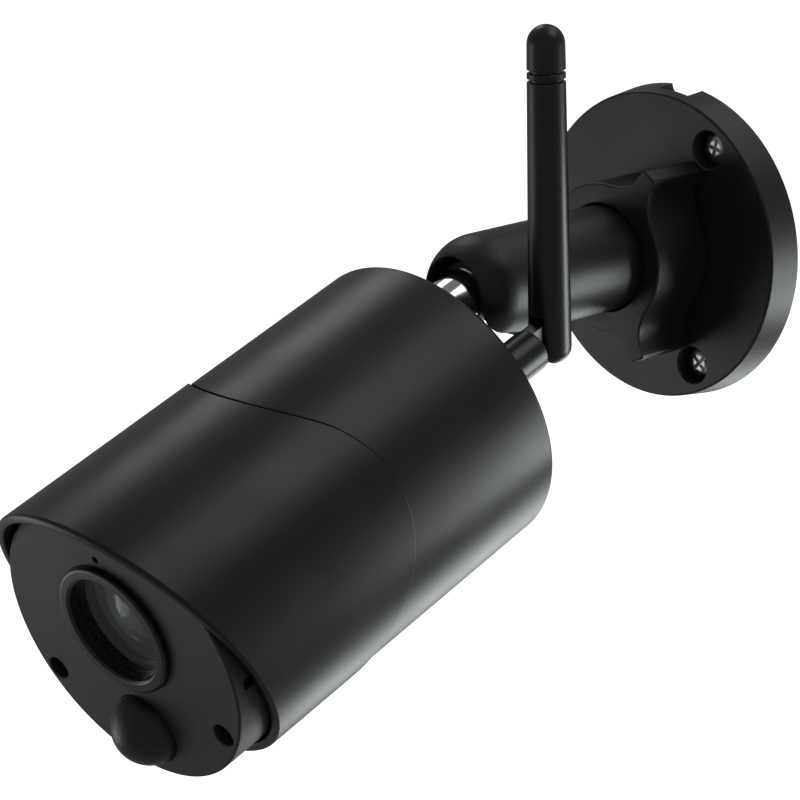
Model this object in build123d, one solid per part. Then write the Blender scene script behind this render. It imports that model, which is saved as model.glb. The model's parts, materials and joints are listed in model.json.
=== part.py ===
"""Battery-powered outdoor bullet camera on a lockable ball mount, with a folding rod antenna.

Millimetres, +Z up.  The origin is the centre of the wall plate's back face, and the wall is the
plane y = 0.  The camera looks along -Y, tipped down and turned a little towards +X.
"""

import os
from math import cos, radians, sin, sqrt

from build123d import *

# Wall plate
PLATE_BACK_R = 33.5
PLATE_FRONT_R = 32.6
PLATE_T = 7.5
SCREW_PCD = 53.6
SCREW_ANGLES = (57.0, 177.0, 297.0)
SCREW_HEAD_R = 3.4
SCREW_NECK_R = 1.75
SCREW_SHANK_R = 2.0
SCREW_LENGTH = 4.5
SCREW_SEAT_Z = 3.2
BOSS_R = 12.8
BOSS_TOP = 17.4
THREAD_PITCH = 2.0
NOTCH_FRONT = 4.6

# Lock nut
NUT_BACK = 8.1
NUT_FRONT = 23.0
NUT_R = 15.7
NUT_WING_R = 22.8
NUT_WING_TIP_W = 3.8
NUT_WING_ROOT_W = 8.0

# Ball arm and stud
ARM_R = 11.1
ARM_BORE_R = 8.25
ARM_FLANGE_R = 12.5
ARM_FLANGE_Z = 17.7
ARM_FLANGE_T = 2.8
BALL_Z = 58.7
BALL_R = 8.2
SLOT_HALF_W = 7.6
SHAFT_R = 6.6
THREAD_R = 3.15

# Camera head, seen in its own frame: x right, y up, z forward, face at z = 0
HEAD_YAW = 3.8
HEAD_PITCH = 17.9
HEAD_ROLL = -1.45
HEAD_LENGTH = 88.4
STUD_RISE = 15.5
STUD_REACH = 20.0
BODY_R = 31.0
SLEEVE_R = 31.4
SLEEVE_BORE_R = 29.5
BARREL_R = 29.1
BARREL_BORE_R = 25.6
SPIGOT_R = 27.3
SKIRT_END_Z = -15.0
REAR_BORE_R = 28.8
REAR_WALL_T = 2.2
FACE_T = 3.2
GASKET_T = 0.8
LENS_Y = 3.9
BEZEL_R = 13.4
BEZEL_PROUD = 1.4
DOME_Y = -19.3
DOME_R = 7.4
FACE_SCREW_X = 22.2
FACE_SCREW_Y = -12.9
CELL_R = 9.2
CELL_LENGTH = 65.0
CELL_X = 10.6
CELL_Y = -12.0
CELL_FRONT_Z = -16.4
CELL_GAP = 0.15
BOARD_Y = 0.3
BOARD_T = 1.4
SPEAKER_Y = -12.0

# Connector well under the rear of the body
WELL_FRONT_Z = -49.0
WELL_REAR_Z = -80.0
WELL_HALF_W = 8.6
WELL_FLOOR_Y = -22.6
PORT_BOARD_Y = WELL_FLOOR_Y - 0.85

# Antenna
ANTENNA_X = 19.35
ANTENNA_Y = 10.7
ANTENNA_BASE_R = 4.35
ANTENNA_BASE_END_Z = -99.4
ANTENNA_PIN_Z = -105.2
ANTENNA_SWIVEL = 2.5
ANTENNA_FOLD = 73.3
ROD_R_LOW = 4.25
ROD_R_TOP = 3.66
ROD_BOTTOM = -5.5
ROD_TOP = 60.9
ROD_CAP_Z = 50.0
PIN_R = 1.1
PIN_HALF = 3.0


def cyl(radius, z0, z1, x=0.0, y=0.0):
    """Cylinder along z between two heights."""
    low = (Align.CENTER, Align.CENTER, Align.MIN)
    return Pos(x, y, min(z0, z1)) * Cylinder(radius, abs(z1 - z0), align=low)


def ring(r_out, r_in, z0, z1, x=0.0, y=0.0):
    """Plain tube along z."""
    return cyl(r_out, z0, z1, x, y) - cyl(r_in, min(z0, z1) - 1, max(z0, z1) + 1, x, y)


def block(x0, x1, y0, y1, z0, z1):
    """Box from its two corners."""
    low = (Align.MIN, Align.MIN, Align.MIN)
    return Pos(x0, y0, z0) * Box(x1 - x0, y1 - y0, z1 - z0, align=low)


def lathe(points, x=0.0, y=0.0):
    """Solid of revolution about z from (radius, z) points."""
    outline = make_face(Polyline([(r, 0, z) for r, z in points], close=True))
    return Pos(x, y, 0) * revolve(outline, Axis.Z)


def around(angle, radius):
    """Point on a circle in the local xy plane."""
    return radius * cos(radians(angle)), radius * sin(radians(angle))


def head_axes():
    """World directions of the head's right, up and forward."""
    yaw = radians(HEAD_YAW)
    pitch = radians(HEAD_PITCH)
    roll = radians(HEAD_ROLL)
    forward = Vector(sin(yaw) * cos(pitch), -cos(yaw) * cos(pitch), -sin(pitch))
    level = Vector(cos(yaw), sin(yaw), 0)
    upright = level.cross(forward) * -1
    right = level * cos(roll) + upright * sin(roll)
    up = upright * cos(roll) - level * sin(roll)
    return right, up, forward


RIGHT, UP, FORWARD = head_axes()
BALL = Vector(0, -BALL_Z, 0)
FACE = BALL - UP * STUD_RISE + FORWARD * (STUD_REACH + HEAD_LENGTH)
WALL_FRAME = Plane((0, 0, 0), x_dir=(1, 0, 0), z_dir=(0, -1, 0)).location
STUD_FRAME = Plane(BALL, x_dir=RIGHT, z_dir=FORWARD).location
HEAD_FRAME = Plane(FACE, x_dir=RIGHT, z_dir=FORWARD).location
SIDE_VIEW = Plane(origin=(-50, 0, 0), x_dir=(0, 1, 0), z_dir=(1, 0, 0))
SWIVEL = Pos(ANTENNA_X, ANTENNA_Y, 0) * Rot(0, 0, ANTENNA_SWIVEL)
ROD_FRAME = HEAD_FRAME * SWIVEL * Pos(0, 0, ANTENNA_PIN_Z) * Rot(ANTENNA_FOLD - 180, 0, 0)


# ---------------------------------------------------------------- wall mount

def wall_plate():
    """Round plate with a hollow threaded boss, three screw pockets and a cable notch."""
    plate = lathe([(0, 0), (PLATE_BACK_R, 0), (PLATE_FRONT_R, PLATE_T), (0, PLATE_T)])
    plate = fillet(plate.edges().sort_by(Axis.Z)[-1], 0.5)
    boss = ring(BOSS_R, ARM_BORE_R + 0.35, PLATE_T - 1, BOSS_TOP)
    starts = [PLATE_T + 1.5 + k * THREAD_PITCH for k in range(4)]
    thread = [ring(BOSS_R + 0.35, BOSS_R - 1, z, z + 0.4 * THREAD_PITCH) for z in starts]
    plate = plate + boss + thread
    for angle in SCREW_ANGLES:
        x, y = around(angle, SCREW_PCD / 2)
        plate -= cyl(SCREW_HEAD_R + 0.45, SCREW_SEAT_Z, PLATE_T + 1, x, y)
        plate -= cyl(SCREW_SHANK_R + 0.25, -1, PLATE_T, x, y)
    notch = block(-1.8, 6.6, 33.4, 40, -1, NOTCH_FRONT) + block(0.6, 4.2, 31.0, 34, -1, NOTCH_FRONT)
    for x in (0.6, 4.2):
        notch += cyl(2.4, -1, NOTCH_FRONT, x, 33.4)
    relief = ring(27.0, 17.0, -1, 1.6)
    for angle in SCREW_ANGLES:
        x, y = around(angle, SCREW_PCD / 2)
        relief -= cyl(5.6, -1, 2, x, y)
    return plate - notch - relief


def cross_recess(reach, half_width, floor):
    """Cross-shaped cutter for a screw head, from the recess floor upwards."""
    top = floor + 6
    cross = block(-reach, reach, -half_width, half_width, floor, top)
    return cross + block(-half_width, half_width, -reach, reach, floor, top)


def wall_screws():
    """Three short pan-head screws with cross recesses, standing out behind the plate."""
    screws = []
    for angle in SCREW_ANGLES:
        x, y = around(angle, SCREW_PCD / 2)
        head = cyl(SCREW_HEAD_R, SCREW_SEAT_Z, SCREW_SEAT_Z + 2.0)
        head = fillet(head.edges().sort_by(Axis.Z)[-1], 1.1)
        cross = cross_recess(2.0, 0.4, SCREW_SEAT_Z + 0.9)
        shank = cyl(SCREW_NECK_R, SCREW_SEAT_Z, -1) + cyl(SCREW_SHANK_R, -0.3, -SCREW_LENGTH)
        screws.append(Pos(x, y, 0) * Rot(0, 0, angle + 20) * (head + shank - cross))
    return screws


def lock_nut():
    """Three-winged knob that screws onto the plate's boss and clamps the arm's flange."""
    outline = Sketch() + Circle(NUT_R)
    for angle in SCREW_ANGLES:
        half_tip = NUT_WING_TIP_W / 2
        half_root = NUT_WING_ROOT_W / 2
        tip = NUT_WING_R
        corners = [(0, -half_root), (tip, -half_tip), (tip, half_tip), (0, half_root)]
        wing = make_face(Polyline(corners, close=True))
        outline += Rot(0, 0, angle) * wing
    inner = [v for v in outline.vertices() if Vector(v).length < NUT_R + 0.5]
    outline = fillet(inner, 5.0)
    nut = extrude(Pos(0, 0, NUT_BACK) * outline, NUT_FRONT - NUT_BACK)
    rim = nut.edges().filter_by(lambda e: e.center().Z > NUT_FRONT - 0.01)
    nut = chamfer(rim, 0.45)
    bore = cyl(BOSS_R + 0.45, NUT_BACK - 1, ARM_FLANGE_Z + ARM_FLANGE_T + 0.15)
    return nut - bore - cyl(ARM_R + 0.25, 0, NUT_FRONT + 1)


def ball_arm():
    """Tube with a clamped flange, a round nose and a slot that lets the stud swing down."""
    tube = cyl(ARM_R, ARM_FLANGE_Z, BALL_Z) + Pos(0, 0, BALL_Z) * Sphere(ARM_R)
    flange = cyl(ARM_FLANGE_R, ARM_FLANGE_Z, ARM_FLANGE_Z + ARM_FLANGE_T)
    bore = cyl(ARM_BORE_R, ARM_FLANGE_Z - 1, BALL_Z) + Pos(0, 0, BALL_Z) * Sphere(ARM_BORE_R)
    mouth = cyl(SLOT_HALF_W, BALL_Z, BALL_Z + 20)
    slot = block(-SLOT_HALF_W, SLOT_HALF_W, -20, 0, BALL_Z, BALL_Z + 20)
    slot += Pos(0, 0, BALL_Z) * Rot(90, 0, 0) * cyl(SLOT_HALF_W, 0, 20)
    arm = tube + flange - bore - mouth - slot
    for side in (-1, 1):
        arm -= Pos(side * 21.4, 2.2, BALL_Z + 8.2) * Sphere(12.0)
    return arm


def pressure_plunger():
    """Rod inside the arm that presses the ball into its seat when the nut is tightened."""
    rod = cyl(7.9, PLATE_T + 0.1, BALL_Z - 5.9)
    rod += cyl(8.3, PLATE_T + 0.1, PLATE_T + 3.0)
    rod -= Pos(0, 0, BALL_Z) * Sphere(BALL_R + 0.05)
    return rod - cyl(4.2, 0, BALL_Z - 14)


def ball_stud():
    """Polished ball, shaft and threaded tip in one piece."""
    rear_face = STUD_REACH - 0.15
    stud = Sphere(BALL_R) + cyl(SHAFT_R, 0, rear_face)
    return stud + cyl(THREAD_R, rear_face - 1, rear_face + 10.0)


# ---------------------------------------------------------------- head shells

def seam_side(ahead):
    """Block on one side of the curved seam between sleeve and rear shell."""
    low = [(-33, -24.0), (-19.3, -36.6), (-1.5, -46.6), (13.5, -49.5)]
    seam = Spline(low + [(24.0, -46.3), (31.0, -38.2), (34, -33.0)])
    edge = 60.0 if ahead else -140.0
    close = Polyline([(34, -33.0), (50, -33.0), (50, edge), (-50, edge), (-50, -24.0), (-33, -24.0)])
    return extrude(SIDE_VIEW * make_face([seam, close]), 100)


def rear_housing():
    """Waterproof shell: rear wall, wide rear body and the narrower barrel under the sleeve."""
    wide = cyl(BODY_R, -HEAD_LENGTH, 0)
    wide = fillet(wide.edges().sort_by(Axis.Z)[0], 1.3)
    wide = wide - seam_side(True)
    shell = wide + cyl(BARREL_R, -HEAD_LENGTH + 5, SKIRT_END_Z - 0.2)
    shell += cyl(SPIGOT_R, -HEAD_LENGTH + 5, -FACE_T - GASKET_T)
    shell -= cyl(BARREL_BORE_R, -52, 1)
    shell -= cyl(REAR_BORE_R, -HEAD_LENGTH + REAR_WALL_T, -52)
    shell += cyl(8.0, -HEAD_LENGTH + 0.5, -74, 0, STUD_RISE)
    shell += cyl(6.2, -HEAD_LENGTH + 0.5, -83, ANTENNA_X, ANTENNA_Y)
    for side in (-1, 1):
        boss = cyl(3.0, -FACE_T - GASKET_T, -17, side * FACE_SCREW_X, FACE_SCREW_Y)
        shell += boss & cyl(SPIGOT_R, -20, 0)
        shell -= cyl(1.15, -16, 0, side * FACE_SCREW_X, FACE_SCREW_Y)
    shell -= cyl(6.5, -HEAD_LENGTH + 1.4, -70, 0, STUD_RISE)
    shell -= cyl(THREAD_R + 0.2, -HEAD_LENGTH - 1, -80, 0, STUD_RISE)
    shell -= cyl(3.2, -HEAD_LENGTH - 1, -70, ANTENNA_X, ANTENNA_Y)
    wall = WELL_HALF_W + 1.2
    shell += block(-wall, wall, -27.5, WELL_FLOOR_Y + 0.9, WELL_REAR_Z - 1.2, WELL_FRONT_Z + 1.2)
    shell -= block(-WELL_HALF_W, WELL_HALF_W, -40, WELL_FLOOR_Y, WELL_REAR_Z, WELL_FRONT_Z)
    for x, y in [(0, 0)] + [around(60 * k, 3.2) for k in range(6)]:
        shell -= cyl(0.8, -HEAD_LENGTH - 1, -HEAD_LENGTH + 4, x, y + SPEAKER_Y)
    return shell


def front_sleeve():
    """Sun-shade sleeve: oblique visor rim in front, curved seam behind."""
    sleeve = ring(SLEEVE_R, SLEEVE_BORE_R, -60, 14)
    rim = ThreePointArc((33, 7.2), (0, -4.0), (-33, -12.4))
    far = Polyline([(-33, -12.4), (-33, 30), (33, 30), (33, 7.2)])
    ahead = extrude(SIDE_VIEW * make_face([rim, far]), 100)
    return sleeve - ahead - seam_side(False)


# ---------------------------------------------------------------- front module

def face_plate():
    """Front cover with openings for the lens, the motion sensor, two screws and the microphone."""
    face = cyl(BARREL_R, -FACE_T, 0)
    face = fillet(face.edges().sort_by(Axis.Z)[-1], 0.4)
    face += ring(BARREL_R, SPIGOT_R + 0.2, SKIRT_END_Z, -FACE_T)
    spigot = ring(BARREL_BORE_R - 0.3, BARREL_BORE_R - 1.8, -6.8, -FACE_T)
    for side in (-1, 1):
        spigot -= cyl(3.2, -8, 0, side * FACE_SCREW_X, FACE_SCREW_Y)
        face -= block(side * BARREL_R - 1.5, side * BARREL_R + 1.5, -1.7, 0.1, -5.8, -2.6)
    face += spigot
    for side in (-1, 1):
        face -= cyl(2.35, 0.5 - FACE_T, 1, side * FACE_SCREW_X, FACE_SCREW_Y)
        face -= cyl(1.3, -4, 1, side * FACE_SCREW_X, FACE_SCREW_Y)
    face -= cyl(BEZEL_R + 0.1, -10, 1, 0, LENS_Y)
    face -= cyl(DOME_R + 0.1, -10, 1, 0, DOME_Y)
    face -= cyl(0.75, -10, 1, 0, 19.1)
    return face - block(-1.3, 1.3, 22.3, 23.0, -10, 1)


def face_gasket():
    """Flat seal between the face plate and the housing's front edge."""
    gasket = ring(SPIGOT_R - 0.1, BARREL_BORE_R + 0.1, -FACE_T - GASKET_T, -FACE_T)
    for side in (-1, 1):
        gasket -= cyl(1.3, -5, 0, side * FACE_SCREW_X, FACE_SCREW_Y)
    return gasket


def face_screws():
    """Two screws at the bottom of the deep round holes in the face."""
    screws = []
    for side in (-1, 1):
        head = cyl(2.1, 0.55 - FACE_T, 1.8 - FACE_T)
        head -= cross_recess(1.4, 0.3, 1.1 - FACE_T)
        shank = cyl(1.1, 0.6 - FACE_T, -14)
        screws.append(Pos(side * FACE_SCREW_X, FACE_SCREW_Y, 0) * (head + shank))
    return screws


def lens_bezel():
    """Flat-topped ring that stands proud of the face around the lens window."""
    top = BEZEL_PROUD
    profile = [(10.9, top - 0.4), (11.3, top), (BEZEL_R - 0.4, top), (BEZEL_R, top - 0.4)]
    profile += [(BEZEL_R, -3.25), (13.9, -3.25), (13.9, -4.2), (9.7, -4.2), (9.7, -2.2), (10.9, -2.2)]
    return lathe(profile, 0, LENS_Y)


def lens_window():
    """Flat cover glass."""
    return cyl(10.8, -2.15, -1.0, 0, LENS_Y)


def lens_barrel():
    """Lens barrel with a wide mouth for the front glass, close behind the window."""
    outside = [(7.0, -17.4), (7.0, -9.0), (9.6, -8.0), (9.6, -2.4), (9.3, -2.4), (9.0, -3.2)]
    bore = [(9.0, -7.2), (6.0, -7.2), (6.0, -11), (3.6, -11), (3.6, -16.0), (3.2, -16.0), (3.2, -17.4)]
    return lathe(outside + bore, 0, LENS_Y)


def front_element():
    """Domed front glass of the lens."""
    dome = Pos(0, 0, -16.6) * Sphere(14.0)
    glass = cyl(8.95, -7.15, -2.0)
    return Pos(0, LENS_Y, 0) * (dome & glass)


def rear_element():
    """Small rear glass of the lens."""
    return cyl(3.55, -14.6, -12.0, 0, LENS_Y)


def lens_holder():
    """Holder on the sensor board, with a slide way for the infrared cut filter."""
    holder = block(-8, 12, LENS_Y - 6.3, LENS_Y + 6.3, -22.8, -17.5) - cyl(3.0, -30, 0, 0, LENS_Y)
    holder -= block(-3.7, 11, LENS_Y - 3.7, LENS_Y + 3.7, -20.2, -19.0)
    return holder - block(-3.8, 3.8, LENS_Y - 3.2, LENS_Y + 3.2, -23, -21.4)


def ir_cut_filter():
    """Thin glass that slides out of the light path at night."""
    return block(-3.4, 3.4, LENS_Y - 3.4, LENS_Y + 3.4, -19.9, -19.3)


def sensor_board():
    """Small circuit board behind the lens holder."""
    return block(-12, 13, LENS_Y - 6.4, LENS_Y + 9, -24.0, -22.8)


def image_sensor():
    """Image sensor chip under the lens."""
    return block(-3.4, 3.4, LENS_Y - 2.8, LENS_Y + 2.8, -22.8, -21.8)


def pir_dome():
    """Motion sensor's domed lens, a thin shell with a flange behind the face."""
    height = 6.6
    outer = Pos(0, 0, height - DOME_R) * Sphere(DOME_R)
    outer = outer & cyl(DOME_R + 1, 0, 20)
    outer += cyl(DOME_R, -FACE_T, height - DOME_R + 1.0)
    inner = Pos(0, 0, height - DOME_R) * Sphere(DOME_R - 0.8)
    inner += cyl(DOME_R - 0.8, -9, height - DOME_R)
    flange = ring(DOME_R + 0.9, DOME_R - 0.8, -FACE_T - 1.0, -FACE_T - 0.05)
    flange += ring(DOME_R, DOME_R - 0.8, -FACE_T - 0.5, -FACE_T + 0.5)
    flange &= cyl(BARREL_BORE_R - 1.9, -6, 0, 0, -DOME_Y)
    return Pos(0, DOME_Y, 0) * (outer - inner + flange)


def pir_sensor():
    """Round metal motion sensor with a window."""
    can = cyl(4.6, -9.9, -5.9) + cyl(4.9, -9.9, -9.3) - block(-1.6, 1.6, -1.2, 1.2, -6.2, -5)
    return Pos(0, DOME_Y + 1.5, 0) * can


def led_board():
    """Round board behind the face that carries the infrared lamps and both small sensors."""
    board = cyl(24.2, -11.2, -10.0) - cyl(9.9, -12, -9, 0, LENS_Y)
    for side in (-1, 1):
        board -= cyl(4.2, -12, -9, side * FACE_SCREW_X, FACE_SCREW_Y)
    return board


def ir_leds():
    """Six infrared lamps round the lens."""
    lamps = []
    for angle in (8, 42, 75, 105, 138, 172):
        x, y = around(angle, 17.2)
        lamp = cyl(1.5, -9.9, -5.4) + Pos(0, 0, -5.4) * Sphere(1.5) + cyl(1.8, -9.9, -9.2)
        lamps.append(Pos(x, y + LENS_Y - 0.6, 0) * lamp)
    return lamps


def microphone():
    """Round microphone capsule behind its hole."""
    return cyl(1.25, -4.9, -FACE_T - 0.05, 0, 19.3)


def light_pipe():
    """Clear light pipe for the status lamp, from the board to the slot in the face."""
    return block(-1.2, 1.2, 22.4, 22.9, -9.9, -0.2)


# ---------------------------------------------------------------- electronics and power

def main_board():
    """Main circuit board, level above the cells."""
    board = block(-23, 23, BOARD_Y, BOARD_Y + BOARD_T, -72, -27)
    for x, z in holder_screw_places():
        board -= Pos(x, 0, z) * Rot(-90, 0, 0) * cyl(1.2, -5, 5)
    return board


def holder_screw_places():
    """Where the main board is screwed to the cell cradle."""
    return [(x, z) for x in (-20, 20) for z in (-30, -69)]


def processor():
    """Main chip."""
    return block(-7, 7, BOARD_Y + BOARD_T, BOARD_Y + BOARD_T + 1.3, -46, -32)


def wifi_module():
    """Radio module under its metal can."""
    return block(4, 20, BOARD_Y + BOARD_T, BOARD_Y + BOARD_T + 2.4, -66, -52)


def capacitors():
    """Row of can capacitors."""
    top = BOARD_Y + BOARD_T
    return [Pos(-16, 0, z) * Rot(-90, 0, 0) * cyl(2.5, top, top + 5.4) for z in (-37, -44, -51)]


def battery_cells():
    """Two round cells side by side."""
    cells = []
    for side in (-1, 1):
        cell = cyl(CELL_R, CELL_FRONT_Z - CELL_LENGTH, CELL_FRONT_Z - 0.8)
        cell = fillet(cell.edges(), 0.6) + cyl(3.0, CELL_FRONT_Z - 1, CELL_FRONT_Z)
        cells.append(Pos(side * CELL_X, CELL_Y, 0) * cell)
    return cells


def cell_cradle():
    """Saddle over the cells, with four posts for the main board."""
    cradle = block(-21.5, 21.5, -7.0, -1.2, -76, -25)
    for side in (-1, 1):
        cradle -= cyl(CELL_R + CELL_GAP, -90, -10, side * CELL_X, CELL_Y)
    for x, z in holder_screw_places():
        cradle += Pos(x, 0, z) * Rot(-90, 0, 0) * cyl(2.6, -4.0, BOARD_Y)
    for x, z in holder_screw_places():
        cradle -= Pos(x, 0, z) * Rot(-90, 0, 0) * cyl(1.05, -4.5, BOARD_Y + 1)
    return cradle


def board_screws():
    """Four screws that hold the main board on the cradle."""
    top = BOARD_Y + BOARD_T
    screw = cyl(2.0, top, top + 1.3) + cyl(1.0, -3.8, top)
    return [Pos(x, 0, z) * Rot(-90, 0, 0) * screw for x, z in holder_screw_places()]


def speaker():
    """Round speaker against the inside of the rear wall."""
    z0 = -HEAD_LENGTH + REAR_WALL_T
    front = [(0, z0 + 0.9), (7.6, z0 + 0.2), (9.4, z0 + 0.05), (9.4, z0 + 2.2)]
    return lathe(front + [(6, z0 + 4.2), (0, z0 + 4.2)], 0, SPEAKER_Y)


def stud_insert():
    """Threaded brass insert for the ball stud."""
    return ring(6.45, THREAD_R + 0.06, -HEAD_LENGTH + 1.45, -76.0, 0, STUD_RISE)


# ---------------------------------------------------------------- connector well

def port_board():
    """Small board at the bottom of the connector well."""
    return block(-8.2, 8.2, PORT_BOARD_Y, WELL_FLOOR_Y - 0.05, WELL_REAR_Z + 0.5, WELL_FRONT_Z - 0.5)


def usb_socket():
    """Charging socket, opening downwards."""
    top = PORT_BOARD_Y
    shell = block(-3.9, 3.9, top - 5.0, top, -72.2, -69.4)
    mouth = block(-3.4, 3.4, top - 6, top - 0.8, -71.8, -69.8)
    return shell - mouth + block(-2.6, 2.6, top - 4.2, top - 0.7, -71.0, -70.4)


def power_switch():
    """Slide switch body with a slot for its knob."""
    top = PORT_BOARD_Y
    body = block(-7.6, -0.6, top - 2.6, top, -78.4, -75.2)
    return body - block(-6.4, -1.8, top - 4, top - 1.0, -77.7, -75.9)


def switch_knob():
    """Knob of the power switch, at its off end."""
    top = PORT_BOARD_Y
    return block(-6.3, -4.1, top - 4.0, top - 1.1, -77.55, -76.05)


def reset_switch():
    """Body of the small push switch."""
    top = PORT_BOARD_Y
    body = block(2.4, 6.4, top - 1.8, top, -78.8, -74.8)
    return body - Pos(4.4, 0, -76.8) * Rot(90, 0, 0) * cyl(1.15, 0.3 - top, 30)


def reset_button():
    """Plunger of the push switch."""
    top = PORT_BOARD_Y
    return Pos(4.4, 0, -76.8) * Rot(90, 0, 0) * cyl(1.05, -top + 0.9, -top + 3.1)


def card_socket():
    """Spring-loaded memory card socket."""
    top = PORT_BOARD_Y
    shell = block(-6.6, 6.6, top - 1.9, top, -63.5, -49.9)
    return shell - block(-5.7, 5.7, top - 1.35, top - 0.4, -65, -50.6)


def memory_card():
    """Memory card, latched in with its tail showing."""
    top = PORT_BOARD_Y
    return block(-5.5, 5.5, top - 1.22, top - 0.5, -66.0, -51.0)


def port_cover():
    """Rubber flap over the well, flush with the body, with an inner lip."""
    half = WELL_HALF_W - 0.3
    skin = ring(BODY_R, BODY_R - 1.8, WELL_REAR_Z + 0.3, WELL_FRONT_Z - 0.3)
    skin &= block(-half, half, -32, -20, -90, -40)
    half -= 0.3
    lip = block(-half, half, -29.6, -28.3, WELL_REAR_Z + 3.0, WELL_FRONT_Z - 1.2)
    half -= 1.2
    lip -= block(-half, half, -31, -27, WELL_REAR_Z + 4.2, WELL_FRONT_Z - 2.4)
    return skin + lip


# ---------------------------------------------------------------- antenna

def antenna_jack():
    """Brass radio connector through the rear wall, with its nut inside."""
    jack = cyl(3.15, -95.0, -79.0, ANTENNA_X, ANTENNA_Y)
    nut = extrude(Pos(ANTENNA_X, ANTENNA_Y, -82.9) * RegularPolygon(4.6, 6), 2.4)
    return jack + nut


def antenna_base():
    """Swivelling foot of the antenna with a tongue for the hinge, in the head's frame."""
    foot = cyl(ANTENNA_BASE_R, ANTENNA_BASE_END_Z, -HEAD_LENGTH - 0.15)
    foot = fillet(foot.edges().sort_by(Axis.Z)[0], 0.5)
    tongue = block(-1.6, 1.6, -3.9, 3.9, ANTENNA_PIN_Z, ANTENNA_BASE_END_Z + 1)
    tongue += Pos(0, 0, ANTENNA_PIN_Z) * Rot(0, 90, 0) * cyl(3.9, -1.6, 1.6)
    foot = foot + tongue - cyl(3.2, -95.3, -80)
    return foot - Pos(0, 0, ANTENNA_PIN_Z) * Rot(0, 90, 0) * cyl(PIN_R + 0.05, -5, 5)


def antenna_pin():
    """Hinge pin of the antenna, fixed in the rod."""
    return Rot(0, 90, 0) * cyl(PIN_R, -PIN_HALF, PIN_HALF)


def rod_radius(z):
    """Radius of the tapered rod at a height above its hinge pin."""
    return ROD_R_LOW + (ROD_R_TOP - ROD_R_LOW) * z / ROD_TOP


def antenna_rod():
    """Tapered sleeve, slotted below for the hinge tongue and hollow for the radiator."""
    outline = [(0, ROD_BOTTOM), (ROD_R_LOW, ROD_BOTTOM), (rod_radius(ROD_CAP_Z), ROD_CAP_Z)]
    rod = lathe(outline + [(0, ROD_CAP_Z)])
    rod = fillet(rod.edges().sort_by(Axis.Z)[0], 3.4)
    rod -= block(-1.8, 1.8, -9, 4.0, ROD_BOTTOM - 1, 4.4)
    rod -= Rot(0, 90, 0) * cyl(PIN_R, -PIN_HALF, PIN_HALF)
    return rod - cyl(2.2, 8.0, ROD_CAP_Z + 1)


def antenna_cap():
    """Domed cap with two thin grooves at its foot."""
    z0 = ROD_CAP_Z
    r0 = rod_radius(z0)
    r1 = rod_radius(ROD_TOP - 3.9)
    cap = lathe([(0, z0), (r0, z0), (r1, ROD_TOP - r1), (0, ROD_TOP - r1)])
    cap += Pos(0, 0, ROD_TOP - r1) * Sphere(r1)
    cap -= ring(9, r0 - 0.6, z0 - 0.1, z0 + 0.6) + ring(9, r0 - 0.6, z0 + 1.7, z0 + 2.3)
    return cap + cyl(2.15, z0 - 5, z0 + 1)


def antenna_radiator():
    """Coiled-wire radiator, kept as a plain core inside the rod."""
    return cyl(1.1, 9.0, 40.0) + cyl(2.0, 9.0, 13.0)


def antenna_coax():
    """Thin lead from the connector to the radio module."""
    top = BOARD_Y + BOARD_T + 2.4 + 0.7
    start = (ANTENNA_X, ANTENNA_Y, -78.9)
    bend = (ANTENNA_X, ANTENNA_Y, -70)
    path = FilletPolyline(start, bend, (ANTENNA_X - 3.0, top, -64), (ANTENNA_X - 6.0, top, -57), radius=3.0)
    section = Plane(origin=start, z_dir=(0, 0, 1)) * Circle(0.65)
    return sweep(section, path)


NODES = {
    WALL_FRAME: [wall_plate, wall_screws, lock_nut, ball_arm, pressure_plunger],
    STUD_FRAME: [ball_stud],
    HEAD_FRAME: [
        rear_housing, front_sleeve, face_plate, face_gasket, face_screws, lens_bezel, lens_window,
        lens_barrel, front_element, rear_element, lens_holder, ir_cut_filter, sensor_board,
        image_sensor, pir_dome, pir_sensor, led_board, ir_leds, microphone, light_pipe, main_board,
        processor, wifi_module, capacitors, battery_cells, cell_cradle, board_screws, speaker,
        stud_insert, port_board, usb_socket, power_switch, switch_knob, reset_switch, reset_button,
        card_socket, memory_card, port_cover, antenna_jack, antenna_coax,
    ],
    HEAD_FRAME * SWIVEL: [antenna_base],
    ROD_FRAME: [antenna_pin, antenna_rod, antenna_cap, antenna_radiator],
}


def main():
    """Build every piece, place it and write one STEP file for each."""
    os.makedirs("parts", exist_ok=True)
    for frame, makers in NODES.items():
        for maker in makers:
            shape = maker()
            solids = shape if isinstance(shape, list) else shape.solids()
            placed = [frame * solid for piece in solids for solid in piece.solids()]
            body = placed[0] if len(placed) == 1 else Compound(children=placed)
            export_step(body, f"parts/{maker.__name__}.step")
            print(maker.__name__, len(placed))


main()
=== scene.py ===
import json
from math import cos, hypot, pi, radians, sin, sqrt, tan

import bmesh
import bpy
from mathutils import Matrix, Vector

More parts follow.
